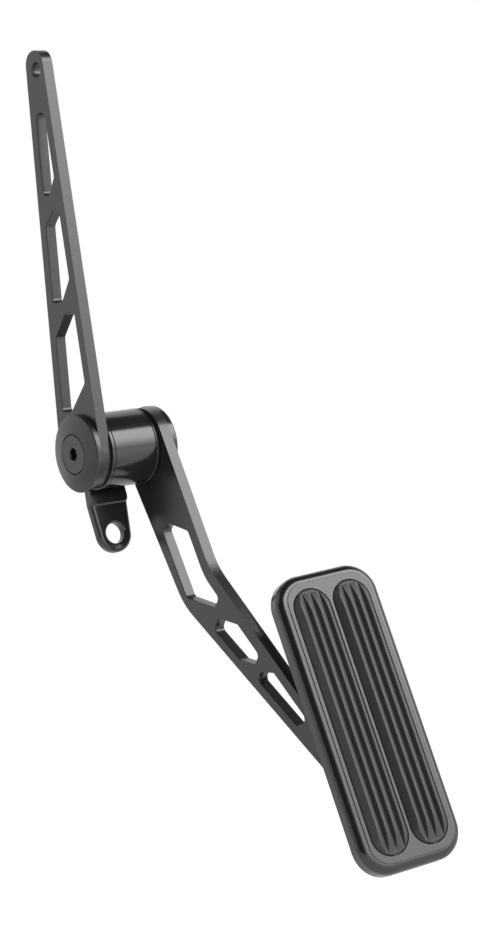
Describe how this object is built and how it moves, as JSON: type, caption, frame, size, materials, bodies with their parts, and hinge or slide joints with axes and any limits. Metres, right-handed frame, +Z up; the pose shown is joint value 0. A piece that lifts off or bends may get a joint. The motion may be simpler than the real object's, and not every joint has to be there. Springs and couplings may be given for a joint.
{
  "type": "accelerator pedal",
  "caption": "Pivoting accelerator pedal with two flat windowed arms on a round pivot barrel, a cable hole above and a tilted pad with ribbed rubber inserts below.",
  "frame": {"origin": "on the barrel's flat rear face, behind the pivot and midway along the barrel", "axes": "+X along the pivot towards the pad's side, +Y into the firewall that the rear face rests on, +Z up"},
  "size_m": [0.0751, 0.1157, 0.3494],
  "materials": {
    "anodised_aluminium": "black anodised, satin",
    "rubber": "moulded black rubber, matt",
    "black_screw": "black oxide",
    "steel": "ground steel",
    "bronze": "sintered bronze",
    "acetal": "black acetal"
  },
  "bodies": {
    "mount_housing": {"housing": "anodised_aluminium", "bushing_left": "bronze", "bushing_right": "bronze", "thrust_washer_left": "acetal", "thrust_washer_right": "acetal", "stop_pin": "steel", "return_spring": "steel"},
    "pedal_lever": {"shaft": "steel", "upper_arm": "anodised_aluminium", "lower_arm": "anodised_aluminium", "left_cap": "anodised_aluminium", "right_cap": "anodised_aluminium", "left_cap_screw": "black_screw", "right_cap_screw": "black_screw", "pad": "anodised_aluminium", "left_insert": "rubber", "right_insert": "rubber", "pad_screw_left": "black_screw", "pad_screw_right": "black_screw", "pad_washer_left": "steel", "pad_washer_right": "steel"}
  },
  "joints": [
    {"name": "pedal_pivot", "type": "hinge", "parent": "mount_housing", "child": "pedal_lever", "pos_m": [0, -0.016, 0], "axis": [1, 0, 0], "range_deg": [0, 18], "stiffness_Nm_per_rad": 1.2, "springref_deg": -22.92, "deforming": ["return_spring"]}
  ]
}
